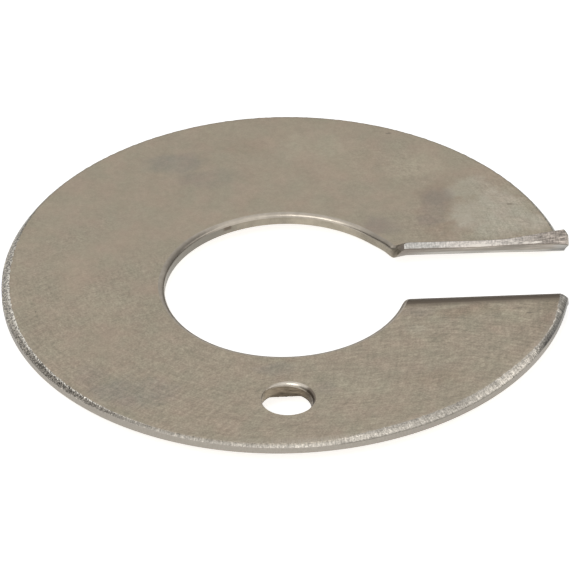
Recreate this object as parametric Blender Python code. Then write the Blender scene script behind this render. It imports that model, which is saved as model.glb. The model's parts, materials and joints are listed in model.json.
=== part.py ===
"""A stamped steel washer, cut through by a slot whose two edges are turned like the start of a screw.

The blank is a round disc with a bore, one small hole, and a slot along +X from the bore to the rim.
The far edge of the slot (+Y) is turned up and the near edge (-Y) is turned down. The far end of
the ring also droops a little. The washer stands on its lowest point, with its disc level.
"""

from math import asin, atan2, ceil, cos, hypot, pi, radians, sin, sqrt

import bmesh
import bpy

# The flat disc, in metres and degrees
DISC_DIAMETER = 0.052
THICKNESS = 0.00107
BORE_DIAMETER = 0.02215
BORE_OFFSET = 0.00103         # the bore lies off the disc's centre, towards the small hole
RIM_BEVEL_WIDTH = 0.00040     # ground bevel along the top of the rim
RIM_BEVEL_DEPTH = 0.00044
BORE_ROLL_RADIUS = 0.00024    # the punch rolled the bore's top edge over

# The small hole
SMALL_HOLE_DIAMETER = 0.0045
SMALL_HOLE_CENTRE_RADIUS = 0.01898
SMALL_HOLE_ANGLE = -92.1      # from the slot, seen from above
SMALL_HOLE_ROLL_RADIUS = 0.00026

# The slot: two bend lines along +X, and what each edge has beyond its bend line
BEND_LINE_OFFSET = 0.00503         # from the slot's middle to either bend line
FAR_RIM_CORNER_RADIUS = 0.00015    # outer corners of the turned edges
NEAR_RIM_CORNER_RADIUS = 0.0018
BORE_CORNER_RADIUS = 0.00040       # inner corner of both

FAR_BEND_RADIUS = 0.00028    # inside radius of the edge turned up
FAR_BORE_ANGLE = 96.0
FAR_RIM_ANGLE = 61.0
FAR_BORE_WIDTH = 0.00122     # flat width of the strip beyond the bend line
FAR_RIM_WIDTH = 0.00212
FAR_FLARE_LENGTH = 0.0087    # the strip grows wider over this stretch before the rim
FAR_TWIST_LENGTH = 0.0090    # and opens out over this one
FAR_RIM_SPREAD = 0.00034     # its outer corner is squeezed out past the rim
FAR_RIM_UPSET = 0.00044      # and thickened by this much
BEAK_SHIFT = 0.00038         # the bend line draws in towards the slot at the bore's corner
BEAK_LENGTH = 0.0016
BEAK_SETBACK = 0.00020       # the bore's edge is drawn outwards at that corner
BEAK_SETBACK_SPREAD = 0.0016
CUT_SETBACK = 0.00037        # and the strip's edge starts this much farther out

NEAR_BORE_BEND_RADIUS = 0.00175    # inside radius of the edge turned down
NEAR_RIM_BEND_RADIUS = 0.00115
NEAR_ANGLE = 58.0
NEAR_BORE_WIDTH = 0.00220
NEAR_RIM_WIDTH = 0.00270

# The droop of the ring's far end
END_DROOP = 0.00050          # at the rim beside the slot
DROOP_START_ANGLE = 103.0    # round the disc from the slot
DROOP_FULL_ANGLE = 25.0

# Facets
RING_STEPS = 96
ROLL_STEPS = 3
SMALL_HOLE_SEGMENTS = 40
SPOKE_STEP = 0.0015    # longest facet from bore to rim
STRIP_SHARES = (0.07, 0.14, 0.21, 0.28, 0.36, 0.46, 0.58, 0.70, 0.82, 0.92, 0.975, 1.0)

RIM_RADIUS = DISC_DIAMETER / 2
BORE_RADIUS = BORE_DIAMETER / 2
HOLE_DIRECTION = radians(SMALL_HOLE_ANGLE)
BORE_CENTRE_X = BORE_OFFSET * cos(HOLE_DIRECTION)
BORE_CENTRE_Y = BORE_OFFSET * sin(HOLE_DIRECTION)
BEAK_START = sqrt(BORE_RADIUS ** 2 - BEND_LINE_OFFSET ** 2)
BEAK_END = BEAK_START + BEAK_LENGTH
SPOKE_STEPS = ceil((RIM_RADIUS - BORE_RADIUS) / SPOKE_STEP)

FAR = 1
NEAR = -1


def clear_scene():
    for item in list(bpy.data.objects):
        bpy.data.objects.remove(item, do_unlink=True)


def eased(start, end, value):
    """Smooth step from 0 at start to 1 at end, which may lie on either side."""
    share = min(max((value - start) / (end - start), 0.0), 1.0)
    return share * share * (3.0 - 2.0 * share)


def growing(length, x):
    """Quickening growth over this length, up to 1 at the rim."""
    share = min(max((x - RIM_RADIUS) / length + 1.0, 0.0), 1.0)
    return share * share


def blend(first, last, share):
    return first + (last - first) * share


def strip_width(side, x):
    """Flat width of the strip beyond a bend line, at a distance out along the slot."""
    if side == FAR:
        return blend(FAR_BORE_WIDTH, FAR_RIM_WIDTH, growing(FAR_FLARE_LENGTH, x))
    return blend(NEAR_BORE_WIDTH, NEAR_RIM_WIDTH, (x - BORE_RADIUS) / (RIM_RADIUS - BORE_RADIUS))


def bend_line(side, x):
    """Distance of a bend line from the slot's middle."""
    if side == NEAR:
        return BEND_LINE_OFFSET
    return BEND_LINE_OFFSET - BEAK_SHIFT * eased(BEAK_END, BEAK_START, x)


def bend_radius(side, x):
    if side == FAR:
        return FAR_BEND_RADIUS
    share = (x - BORE_RADIUS) / (RIM_RADIUS - BORE_RADIUS)
    return blend(NEAR_BORE_BEND_RADIUS, NEAR_RIM_BEND_RADIUS, share)


def upset(side, share, x):
    """Extra thickness of the strip's sheared edge towards the rim."""
    if side == NEAR:
        return 0.0
    return FAR_RIM_UPSET * share ** 2 * growing(FAR_FLARE_LENGTH, x)


def bend_angle(side, x):
    if side == FAR:
        return radians(blend(FAR_BORE_ANGLE, FAR_RIM_ANGLE, growing(FAR_TWIST_LENGTH, x)))
    return radians(NEAR_ANGLE)


def corner_cut(distance, radius):
    """How far a rounded corner draws back at this distance from the slot's edge."""
    if distance >= radius:
        return 0.0
    return radius - sqrt(radius ** 2 - (radius - distance) ** 2)


def beak_setback(y):
    """How far the bore's edge is drawn outwards near the far corner."""
    return BEAK_SETBACK * eased(BEND_LINE_OFFSET + BEAK_SETBACK_SPREAD, BEND_LINE_OFFSET, y)


def bore_x(side, y):
    x = BORE_CENTRE_X + sqrt(BORE_RADIUS ** 2 - (y - BORE_CENTRE_Y) ** 2)
    return x + beak_setback(y) if side == FAR else x


def rim_x(y):
    return sqrt(RIM_RADIUS ** 2 - y ** 2)


class Spoke:
    """One line across the flat blank from bore to rim, along which the section is swept."""

    def __init__(self, start, end, side=FAR, share=0.0):
        self.start = start
        self.end = end
        self.side = side
        self.share = share
        self.length = hypot(end[0] - start[0], end[1] - start[1])

    def inset(self, point, centre, amount):
        """Share of the spoke that lies this far inside a round edge."""
        normal_x = point[0] - centre[0]
        normal_y = point[1] - centre[1]
        along_x = (self.end[0] - self.start[0]) / self.length
        along_y = (self.end[1] - self.start[1]) / self.length
        slope = (normal_x * along_x + normal_y * along_y) / hypot(normal_x, normal_y)
        return amount / slope / self.length

    def strip(self, x):
        """Flat distance beyond the bend line."""
        return self.share * strip_width(self.side, x)

    def plan(self, along):
        """Place on the flat blank at a share of the way along."""
        x = blend(self.start[0], self.end[0], along)
        if self.share > 0.0:
            return x, self.side * (bend_line(self.side, x) - self.strip(x))
        return x, blend(self.start[1], self.end[1], along)


def strip_spoke(side, share):
    """A spoke that runs beside the slot, a share of the way from the bend line to the slot's edge."""
    bore_width = strip_width(side, BEAK_START)
    rim_width = strip_width(side, RIM_RADIUS)
    bore_y = side * (bend_line(side, BEAK_START) - share * bore_width)
    rim_y = side * (BEND_LINE_OFFSET - share * rim_width)
    bore_cut = corner_cut((1.0 - share) * bore_width, BORE_CORNER_RADIUS)
    rim_corner = FAR_RIM_CORNER_RADIUS if side == FAR else NEAR_RIM_CORNER_RADIUS
    rim_cut = corner_cut((1.0 - share) * rim_width, rim_corner)
    spread = FAR_RIM_SPREAD * share if side == FAR else 0.0
    setback = CUT_SETBACK * share if side == FAR else 0.0
    start = (bore_x(side, bore_y) + bore_cut + setback, bore_y)
    end = (rim_x(rim_y) - rim_cut + spread, rim_y)
    return Spoke(start, end, side, share)


def ring_spokes():
    """Spokes round the disc, from the near bend line the long way to the far one."""
    bore_near = asin((-BEND_LINE_OFFSET - BORE_CENTRE_Y) / BORE_RADIUS)
    bore_far = asin((BEND_LINE_OFFSET - BORE_CENTRE_Y) / BORE_RADIUS) - 2 * pi
    rim_near = asin(-BEND_LINE_OFFSET / RIM_RADIUS)
    rim_far = asin(BEND_LINE_OFFSET / RIM_RADIUS) - 2 * pi
    spokes = []
    for step in range(RING_STEPS + 1):
        share = step / RING_STEPS
        bore_angle = blend(bore_near, bore_far, share)
        rim_angle = blend(rim_near, rim_far, share)
        start_x = BORE_CENTRE_X + BORE_RADIUS * cos(bore_angle)
        start_y = BORE_CENTRE_Y + BORE_RADIUS * sin(bore_angle)
        if start_x > 0.0:
            start_x += beak_setback(abs(start_y)) if start_y > 0.0 else 0.0
        end_x = RIM_RADIUS * cos(rim_angle)
        end_y = RIM_RADIUS * sin(rim_angle)
        spokes.append(Spoke((start_x, start_y), (end_x, end_y)))
    return spokes


def turned(side, strip, x, height):
    """Distance from the slot's middle, and height, of a point of the strip once it is bent."""
    inside = bend_radius(side, x)
    neutral = inside + THICKNESS / 2
    angle = min(strip / neutral, bend_angle(side, x))
    straight = strip - angle * neutral
    radius = inside + (THICKNESS - height if side == FAR else height)
    away = bend_line(side, x) - radius * sin(angle) - straight * cos(angle)
    rise = inside + THICKNESS - radius * cos(angle) + straight * sin(angle)
    return away, rise if side == FAR else THICKNESS - rise


def droop(x, y):
    """The ring's far end sinks, in step with the distance from the disc's centre."""
    angle = atan2(y, x) * 180.0 / pi
    if angle < 0.0 or angle > DROOP_START_ANGLE:
        return 0.0
    return END_DROOP * hypot(x, y) / RIM_RADIUS * eased(DROOP_START_ANGLE, DROOP_FULL_ANGLE, angle)


def formed(spoke, along, height):
    """Place of a point of the blank once the slot's edges are turned and the end has sunk."""
    x, y = spoke.plan(along)
    if spoke.share == 0.0:
        return x, y, height - droop(x, y)
    height += upset(spoke.side, spoke.share, x) * height / THICKNESS
    away, rise = turned(spoke.side, spoke.strip(x), x, height)
    return x, spoke.side * away, rise - droop(x, y)


def section(spoke):
    """Closed outline of the sheet along a spoke: underside, rim, top face, and the rolled bore edge."""
    roll = spoke.inset(spoke.start, (BORE_CENTRE_X, BORE_CENTRE_Y), BORE_ROLL_RADIUS)
    bevel = spoke.inset(spoke.end, (0.0, 0.0), RIM_BEVEL_WIDTH)
    outline = []
    for step in range(SPOKE_STEPS + 1):
        outline.append((step / SPOKE_STEPS, 0.0))
    outline.append((1.0, THICKNESS - RIM_BEVEL_DEPTH))
    for step in range(SPOKE_STEPS + 1):
        outline.append((blend(1.0 - bevel, roll, step / SPOKE_STEPS), THICKNESS))
    for step in range(1, ROLL_STEPS + 1):
        turn = pi / 2 * step / ROLL_STEPS
        inward = roll * (1.0 - sin(turn))
        outline.append((inward, THICKNESS - BORE_ROLL_RADIUS * (1.0 - cos(turn))))
    return [formed(spoke, along, height) for along, height in outline]


def close_end(mesh, ring):
    """The sheared face at a slot edge, between the underside's points and the top's."""
    last = SPOKE_STEPS
    top_first = last + 2
    under = ring[:last + 1]
    top = ring[top_first:top_first + last + 1][::-1]
    for step in range(last):
        mesh.faces.new((under[step], under[step + 1], top[step + 1], top[step]))
    mesh.faces.new((under[last], ring[last + 1], top[last]))
    mesh.faces.new([under[0], top[0]] + ring[top_first + last + 1:])


def swept_washer():
    """The turned and drooped sheet, skinned over the sections from one slot edge to the other."""
    spokes = [strip_spoke(NEAR, share) for share in reversed(STRIP_SHARES)]
    spokes += ring_spokes()
    spokes += [strip_spoke(FAR, share) for share in STRIP_SHARES]
    mesh = bmesh.new()
    rings = []
    for spoke in spokes:
        rings.append([mesh.verts.new(point) for point in section(spoke)])
    for ring, following in zip(rings, rings[1:]):
        for index in range(len(ring)):
            other = (index + 1) % len(ring)
            mesh.faces.new((ring[index], ring[other], following[other], following[index]))
    close_end(mesh, rings[0])
    close_end(mesh, rings[-1])
    bmesh.ops.recalc_face_normals(mesh, faces=mesh.faces)
    return mesh


def hole_cutter_mesh():
    """A turned cutter: straight through the sheet, flared where the small hole's edge rolls over."""
    radius = SMALL_HOLE_DIAMETER / 2
    roll = SMALL_HOLE_ROLL_RADIUS
    profile = [(0.0, -THICKNESS), (radius, -THICKNESS)]
    for step in range(ROLL_STEPS + 1):
        turn = pi / 2 * step / ROLL_STEPS
        profile.append((radius + roll * (1.0 - cos(turn)), THICKNESS - roll * (1.0 - sin(turn))))
    profile.append((radius + roll, 2 * THICKNESS))
    profile.append((0.0, 2 * THICKNESS))
    mesh = bmesh.new()
    points = [mesh.verts.new((out, 0.0, height)) for out, height in profile]
    edges = [mesh.edges.new(pair) for pair in zip(points, points[1:])]
    bmesh.ops.spin(mesh, geom=points + edges, cent=(0, 0, 0), axis=(0, 0, 1),
                   angle=2 * pi, steps=SMALL_HOLE_SEGMENTS)
    bmesh.ops.remove_doubles(mesh, verts=mesh.verts, dist=1e-7)
    bmesh.ops.recalc_face_normals(mesh, faces=mesh.faces)
    return mesh


def new_object(name, mesh):
    data = bpy.data.meshes.new(name)
    mesh.to_mesh(data)
    mesh.free()
    item = bpy.data.objects.new(name, data)
    bpy.context.scene.collection.objects.link(item)
    return item


def punch_small_hole(washer, base):
    """Cut the small hole at its place on the disc."""
    cutter = new_object("small_hole_cutter", hole_cutter_mesh())
    cutter.location.x = SMALL_HOLE_CENTRE_RADIUS * cos(HOLE_DIRECTION)
    cutter.location.y = SMALL_HOLE_CENTRE_RADIUS * sin(HOLE_DIRECTION)
    cutter.location.z = base
    cutter.hide_render = True
    cutter.display_type = "WIRE"
    cut = washer.modifiers.new("small_hole", "BOOLEAN")
    cut.object = cutter
    cut.operation = "DIFFERENCE"
    cut.solver = "EXACT"


def steel():
    """Satin, slightly warm sheet steel."""
    material = bpy.data.materials.new("satin_steel")
    material.use_nodes = True
    shader = material.node_tree.nodes["Principled BSDF"]
    shader.inputs["Base Color"].default_value = (0.46, 0.42, 0.34, 1.0)
    shader.inputs["Metallic"].default_value = 1.0
    shader.inputs["Roughness"].default_value = 0.42
    return material


def build():
    clear_scene()
    sheet = swept_washer()
    base = -min(point.co.z for point in sheet.verts)
    bmesh.ops.translate(sheet, verts=sheet.verts, vec=(0.0, 0.0, base))
    washer = new_object("slotted_washer", sheet)
    punch_small_hole(washer, base)
    washer.data.materials.append(steel())
    washer.data.shade_smooth()
    washer.data.set_sharp_from_angle(angle=radians(28.0))


build()
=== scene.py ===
import json
from math import asin, atan2, cos, degrees, pi, radians, sin, sqrt, tan

import bmesh
import bpy
from mathutils import Matrix, Vector, noise


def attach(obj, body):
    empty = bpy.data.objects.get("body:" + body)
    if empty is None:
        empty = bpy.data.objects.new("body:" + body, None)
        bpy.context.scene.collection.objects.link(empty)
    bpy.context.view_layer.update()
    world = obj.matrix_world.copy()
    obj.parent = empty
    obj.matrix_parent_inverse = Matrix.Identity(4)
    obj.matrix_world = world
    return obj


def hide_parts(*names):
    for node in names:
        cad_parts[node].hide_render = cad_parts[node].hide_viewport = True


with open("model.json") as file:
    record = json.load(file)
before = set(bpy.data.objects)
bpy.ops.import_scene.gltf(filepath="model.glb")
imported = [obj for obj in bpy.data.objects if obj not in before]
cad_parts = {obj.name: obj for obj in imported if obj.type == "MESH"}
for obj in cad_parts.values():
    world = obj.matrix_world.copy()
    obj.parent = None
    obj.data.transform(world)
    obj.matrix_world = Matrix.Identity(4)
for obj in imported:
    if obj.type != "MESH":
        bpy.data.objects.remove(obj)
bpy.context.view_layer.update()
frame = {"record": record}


# The camera. It looks down on the washer from in front through a very long lens, with the slot on the
# right. A washer like this leans by a degree on its down-turned edge when it lies on a table. Here the
# disc is level, so the camera leans instead.
CAMERA_TURN = 2.62            # degrees round the washer from straight in front
CAMERA_UP = 35.44
WASHER_LEAN = 1.21
CAMERA_DISTANCE = 2.40        # metres, near enough for the views from other sides
CAMERA_REACH = 20.0
SENSOR_WIDTH = 36.0           # millimetres
IMAGE_WIDTH = 570
PIXELS_PER_METRE = 10936.0
AIM_RIGHT = 0.71              # pixels from the picture's middle to the washer's
AIM_DOWN = 2.55

mounts = {mount["name"]: mount for mount in frame["record"]["mounts"]}
DISC_UNDERSIDE = mounts["under_face"]["pos_m"][2]


def add_object(name, data):
    """A new object in the scene."""
    item = bpy.data.objects.new(name, data)
    bpy.context.scene.collection.objects.link(item)
    return item


camera_data = bpy.data.cameras.new("camera")
camera_data.sensor_width = SENSOR_WIDTH
camera_data.lens = PIXELS_PER_METRE * CAMERA_DISTANCE / IMAGE_WIDTH * SENSOR_WIDTH
camera_data.clip_end = CAMERA_REACH
camera = add_object("camera", camera_data)
camera_turn = (Matrix.Rotation(radians(-CAMERA_TURN), 4, "Z")
               @ Matrix.Rotation(radians(WASHER_LEAN), 4, "Y")
               @ Matrix.Rotation(radians(90 - CAMERA_UP), 4, "X"))
camera_offset = Vector((-AIM_RIGHT, AIM_DOWN, PIXELS_PER_METRE * CAMERA_DISTANCE)) / PIXELS_PER_METRE
camera.matrix_world = (Matrix.Translation((0, 0, DISC_UNDERSIDE)) @ camera_turn
                       @ Matrix.Translation(camera_offset))
bpy.context.scene.camera = camera
bpy.context.scene.view_settings.view_transform = "Standard"


# The studio. A white table under a plain white surround, one large soft light overhead and in front,
# and a smaller one on the right. The table keeps the washer's soft shadow. A low dark card stands
# behind and on the left, so that the steel has something dark to reflect.
WHITE = (1.0, 1.0, 1.0, 1.0)
SURROUND_LEVEL = 0.22         # what the surround gives to matt surfaces
TABLE_SIZE = 3.0
TABLE_GLOW = 0.74
CARD_RADIUS = 0.70
# Each row: degrees round from the right, and how high the card's edge looks from the washer.
CARD_EDGE = ((8, 26.0), (50, 26.0), (90, 18.0), (130, 26.0), (160, 40.0), (213, 40.0))
CARD_STEP = 5
CARD_GLOW = 0.16


def feed(tree, node, values):
    """Give a node its inputs, in order or by name: plain values, or other nodes' outputs."""
    for key, value in (values.items() if isinstance(values, dict) else enumerate(values)):
        if isinstance(value, (int, float, str, tuple)):
            node.inputs[key].default_value = value
        else:
            tree.links.new(value, node.inputs[key])


def maths(tree, operation, *values):
    """One step of arithmetic in a node tree."""
    node = tree.nodes.new("ShaderNodeMath")
    node.operation = operation
    feed(tree, node, values)
    return node.outputs[0]


def mesh_object(name, shape):
    """A new object in the scene, made of a finished bmesh."""
    data = bpy.data.meshes.new(name)
    shape.to_mesh(data)
    shape.free()
    return add_object(name, data)


def paint(item, name, inputs):
    """Give a piece of the studio a plain material."""
    material = bpy.data.materials.new(name)
    material.use_nodes = True
    feed(material.node_tree, material.node_tree.nodes["Principled BSDF"], inputs)
    item.data.materials.append(material)


def soft_light(name, place, size, radiance):
    """A square area light that faces the washer, by the brightness of its face."""
    lamp = bpy.data.lights.new(name, "AREA")
    lamp.size = size
    lamp.energy = radiance * pi * size ** 2
    item = add_object(name, lamp)
    item.location = place
    item.rotation_euler = Vector(place).to_track_quat("Z", "Y").to_euler()


def blend(first, last, share):
    return first + (last - first) * share


def read_rows(rows, turn):
    """The values at this many degrees, read between the rows of a table."""
    for (start, *first), (end, *last) in zip(rows, rows[1:]):
        if start <= turn <= end:
            share = (turn - start) / (end - start)
            values = [blend(low, high, share) for low, high in zip(first, last)]
    return values


world = bpy.data.worlds.new("studio")
world.use_nodes = True
bpy.context.scene.world = world
surround = world.node_tree
surround.nodes.clear()
rays = surround.nodes.new("ShaderNodeLightPath").outputs
seen = maths(surround, "MAXIMUM", rays["Is Camera Ray"], rays["Is Glossy Ray"])
seen = maths(surround, "MAXIMUM", seen, rays["Is Transmission Ray"])
level = maths(surround, "MULTIPLY_ADD", seen, 1.0 - SURROUND_LEVEL, SURROUND_LEVEL)
background = surround.nodes.new("ShaderNodeBackground")
feed(surround, background, {"Color": WHITE, "Strength": level})
feed(surround, surround.nodes.new("ShaderNodeOutputWorld"), {"Surface": background.outputs[0]})

table_shape = bmesh.new()
bmesh.ops.create_grid(table_shape, x_segments=1, y_segments=1, size=TABLE_SIZE / 2)
table = mesh_object("table", table_shape)
paint(table, "table_white", {"Base Color": (0.86, 0.86, 0.86, 1.0), "Roughness": 0.9,
                             "Specular IOR Level": 0.1, "Emission Color": WHITE,
                             "Emission Strength": TABLE_GLOW})

soft_light("overhead_light", (-0.30, -0.50, 0.78), 0.62, 2.6)
soft_light("right_light", (0.80, -0.02, 0.50), 0.40, 2.4)

card_shape = bmesh.new()
card_sides = []
for turn in range(CARD_EDGE[0][0], CARD_EDGE[-1][0] + 1, CARD_STEP):
    foot = Vector((cos(radians(turn)), sin(radians(turn)), 0.0)) * CARD_RADIUS
    top = foot + Vector((0, 0, CARD_RADIUS * tan(radians(read_rows(CARD_EDGE, turn)[0]))))
    card_sides.append((card_shape.verts.new(foot), card_shape.verts.new(top)))
for (foot, top), (next_foot, next_top) in zip(card_sides, card_sides[1:]):
    card_shape.faces.new((foot, top, next_top, next_foot))
card = mesh_object("dark_card", card_shape)
paint(card, "card_dark", {"Base Color": (0.05, 0.05, 0.05, 1.0), "Emission Color": (1.0, 0.96, 0.90, 1.0),
                          "Emission Strength": CARD_GLOW})
card.visible_camera = False
card.visible_diffuse = False
card.visible_transmission = False
card.visible_shadow = False


# The blank: a round disc of sheet steel with a bore and a slot from the bore to the rim, still flat.
# Its top rim is ground to a bevel, and the punch rolled the bore's top edge over. Lines run across it
# from bore to rim, and each carries the sheet's section.
MILLIMETRE = 0.001
RIM_RADIUS = 0.02599
THICKNESS = 0.00107
BORE_RADIUS = 0.02215 / 2
BORE_OFFSET = 0.00103         # the bore lies off the middle, towards the small hole
BORE_ROLL_WIDTH = 0.00045
BORE_ROLL_SPREAD = 0.00014    # how much wider the roll is on the far left
BORE_ROLL_SPREAD_TURNS = (112, 142, 175, 200)    # where that is, in degrees round the bore
BORE_ROLL_DEPTH = 0.00030
LOWER_EDGE = 0.00004          # how worn the lower edges are
FAR_CUT_EDGES = (0.00015, 0.00006)    # the far slot edge's worn borders: below at the bore, and above
HOLE_ANGLE = radians(-92.1)
BORE_CENTRE = Vector((BORE_OFFSET * cos(HOLE_ANGLE), BORE_OFFSET * sin(HOLE_ANGLE)))

BEND_LINE = 0.00503           # from the slot's middle to either bend line
BEAK_SHIFT = 0.00038          # the far bend line draws in at the bore's corner
BEAK_START = sqrt(BORE_RADIUS ** 2 - BEND_LINE ** 2)
BEAK_END = BEAK_START + 0.0016
BEAK_SETBACK = 0.00020        # and the bore's edge is drawn outwards there
BEAK_SETBACK_SPREAD = 0.0016
FAR_BORE_WIDTH = 0.00122      # flat width of the far strip beyond its bend line
FAR_RIM_WIDTH = 0.00212
FAR_FLARE_START = RIM_RADIUS - 0.0087
FAR_TWIST_START = RIM_RADIUS - 0.0090
FAR_RIM_SPREAD = 0.00034
FAR_CUT_SETBACK = 0.00037
NEAR_BORE_WIDTH = 0.00220
NEAR_RIM_WIDTH = 0.00270
FAR_RIM_CORNER_RADIUS = 0.00015
NEAR_RIM_CORNER_RADIUS = 0.0018
BORE_CORNER_RADIUS = 0.00040

# The bevel was ground by hand, so it is uneven. Each row: degrees round the disc from the slot, the
# bevel's width and depth there in millimetres, and its painted highlight and shade, as a level.
RIM_BEVEL = (
    (0, 0.38, 0.42, 1.0), (25, 0.42, 0.46, 1.0), (90, 0.30, 0.40, 1.0), (150, 0.40, 0.45, 0.9),
    (160, 0.60, 0.45, 0.9), (170, 0.72, 0.42, 0.98), (180, 0.74, 0.42, 1.05), (190, 0.68, 0.44, 1.2),
    (200, 0.56, 0.48, 1.3), (210, 0.46, 0.50, 1.35), (220, 0.36, 0.44, 1.5), (230, 0.24, 0.32, 1.25),
    (240, 0.14, 0.34, 0.9), (250, 0.13, 0.40, 0.80), (260, 0.13, 0.42, 0.85), (270, 0.14, 0.44, 1.08),
    (276, 0.20, 0.46, 1.0), (280, 0.36, 0.46, 0.92), (285, 0.64, 0.44, 0.80), (290, 0.72, 0.40, 0.78),
    (300, 0.72, 0.46, 0.74), (306, 0.68, 0.46, 0.66), (313, 0.68, 0.44, 0.92), (320, 0.70, 0.43, 1.10),
    (327, 0.58, 0.42, 1.0), (333, 0.44, 0.48, 0.98), (340, 0.38, 0.54, 1.1), (346, 0.60, 0.46, 1.3),
    (352, 0.72, 0.44, 1.3), (360, 0.60, 0.36, 1.3))
BEVEL_RAGGED = 0.16           # how uneven its inner border is, as a share of its width
BEVEL_RIPPLES = ((0.9, 0.0, 1.0), (2.3, 5.0, 0.6))    # each: how fine, where it starts, how strong
BEVEL_CURVE = 1.5             # how rounded the bevel is, where 1 would be flat
SHADOW_LINE_FIRST, SHADOW_LINE_LAST = 277, 328    # where a painted shadow under a burr darkens the bevel's lower border, in degrees
SHADOW_LINE_SOFT = 4

RING_STEPS = 720
STRIP_STEPS = 30
FACE_SHARES = (0.0, 0.010, 0.03, 0.07, 0.13, 0.19, 0.25, 0.31, 0.37, 0.43, 0.49, 0.55, 0.61, 0.67,
               0.73, 0.79, 0.85, 0.90, 0.94, 0.97, 0.99, 1.0)
WALL_SHARES = (0.0, 0.05, 0.2, 0.4, 0.6, 0.8, 0.92, 1.0)
CURVE_STEPS = 6
CUT_EDGE_SHARE = 0.035        # how much of a strip its worn cut edge takes
HOLE_PATCH_ROWS = range(6, 14)
HOLE_PATCH_LINES = 23         # on either side of the small hole
FINISHES = ("face", "bevel", "rim", "roll", "bore", "cut", "punched")


def eased(start, end, value):
    """Smooth step from 0 at start to 1 at end."""
    share = min(max((value - start) / (end - start), 0.0), 1.0)
    return share * share * (3.0 - 2.0 * share)


def growing(start, x):
    """Quickening growth from 0 at start to 1 at the rim."""
    return min(max((x - start) / (RIM_RADIUS - start), 0.0), 1.0) ** 2


def strip_width(side, x):
    if side > 0:
        return blend(FAR_BORE_WIDTH, FAR_RIM_WIDTH, growing(FAR_FLARE_START, x))
    return blend(NEAR_BORE_WIDTH, NEAR_RIM_WIDTH, (x - BORE_RADIUS) / (RIM_RADIUS - BORE_RADIUS))


def bend_line(side, x):
    return BEND_LINE - (BEAK_SHIFT * eased(BEAK_END, BEAK_START, x) if side > 0 else 0.0)


def corner_cut(distance, radius):
    """How far a rounded corner draws back at this distance from the slot's edge."""
    return radius - sqrt(radius ** 2 - max(radius - distance, 0.0) ** 2)


def beak_setback(y):
    """How far the bore's edge is drawn outwards near the far corner."""
    return BEAK_SETBACK * eased(BEND_LINE + BEAK_SETBACK_SPREAD, BEND_LINE, y)


def strip_line(side, share):
    """Ends of a line beside the slot, a share of the way from the bend line to the slot's edge."""
    bore_width = strip_width(side, BEAK_START)
    rim_width = strip_width(side, RIM_RADIUS)
    bore_y = side * (bend_line(side, BEAK_START) - share * bore_width)
    rim_y = side * (BEND_LINE - share * rim_width)
    bore_x = BORE_CENTRE.x + sqrt(BORE_RADIUS ** 2 - (bore_y - BORE_CENTRE.y) ** 2)
    bore_x += corner_cut((1.0 - share) * bore_width, BORE_CORNER_RADIUS)
    rim_x = sqrt(RIM_RADIUS ** 2 - rim_y ** 2)
    rim_corner = FAR_RIM_CORNER_RADIUS if side > 0 else NEAR_RIM_CORNER_RADIUS
    rim_x -= corner_cut((1.0 - share) * rim_width, rim_corner)
    if side > 0:
        bore_x += beak_setback(bore_y) + FAR_CUT_SETBACK * share
        rim_x += FAR_RIM_SPREAD * share
    return Vector((bore_x, bore_y)), Vector((rim_x, rim_y)), side, share


def ring_line(share):
    """Ends of a line across the ring, from the near bend line (0) the long way round to the far one (1)."""
    bore_near = asin((-BEND_LINE - BORE_CENTRE.y) / BORE_RADIUS)
    bore_far = asin((BEND_LINE - BORE_CENTRE.y) / BORE_RADIUS) - 2 * pi
    rim_near = asin(-BEND_LINE / RIM_RADIUS)
    rim_far = asin(BEND_LINE / RIM_RADIUS) - 2 * pi
    bore_angle = blend(bore_near, bore_far, share)
    rim_angle = blend(rim_near, rim_far, share)
    start = BORE_CENTRE + BORE_RADIUS * Vector((cos(bore_angle), sin(bore_angle)))
    if min(start) > 0.0:
        start.x += beak_setback(start.y)
    end = RIM_RADIUS * Vector((cos(rim_angle), sin(rim_angle)))
    return start, end, 0, 0.0


def place_on(line, along, height):
    """Point of the flat blank at a share of the way along a line."""
    start, end, side, share = line
    if share == 1.0:
        lower, upper = FAR_CUT_EDGES if side > 0 else (LOWER_EDGE, LOWER_EDGE)
        lower = blend(lower, upper, along)    # at the rim it is as sharp as the upper one
        height = blend(lower, THICKNESS - upper, height / THICKNESS)
    point = start.lerp(end, along)
    if side:
        point.y = side * (bend_line(side, point.x) - share * strip_width(side, point.x))
    return Vector((point.x, point.y, height))


def turn_of(point):
    """The direction of a point from the middle, in degrees from the slot."""
    return degrees(atan2(point.y, point.x)) % 360.0


def ragged(value, ripples):
    """An uneven line along a value, made of ripples."""
    return sum(strength * noise.noise(Vector((value * fineness, start, 0.0)))
               for fineness, start, strength in ripples)


def rim_bevel(point):
    """Width, depth and painted highlight and shade level of the rim's bevel next to a place."""
    turn = turn_of(point)
    width, depth, bright = read_rows(RIM_BEVEL, turn)
    width *= 1.0 + BEVEL_RAGGED * ragged(turn, BEVEL_RIPPLES)
    return width * MILLIMETRE, depth * MILLIMETRE, bright


def bore_roll_width(point):
    turn = turn_of(point - BORE_CENTRE)
    start, full, full_end, end = BORE_ROLL_SPREAD_TURNS
    return BORE_ROLL_WIDTH + BORE_ROLL_SPREAD * eased(start, full, turn) * eased(end, full_end, turn)


# How strong the painted shadow under the bevel's lower border is at a place.
def shadow_line_strength(point):
    turn = turn_of(point)
    opening = eased(SHADOW_LINE_FIRST - SHADOW_LINE_SOFT, SHADOW_LINE_FIRST + SHADOW_LINE_SOFT, turn)
    return opening * eased(SHADOW_LINE_LAST + SHADOW_LINE_SOFT, SHADOW_LINE_LAST - SHADOW_LINE_SOFT, turn)


def inset_share(line, point, centre, amount):
    """Share of a line that lies this far inside a round edge."""
    direction = line[1] - line[0]
    slope = (point - centre).normalized().dot(direction.normalized())
    return amount / slope / direction.length


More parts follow.
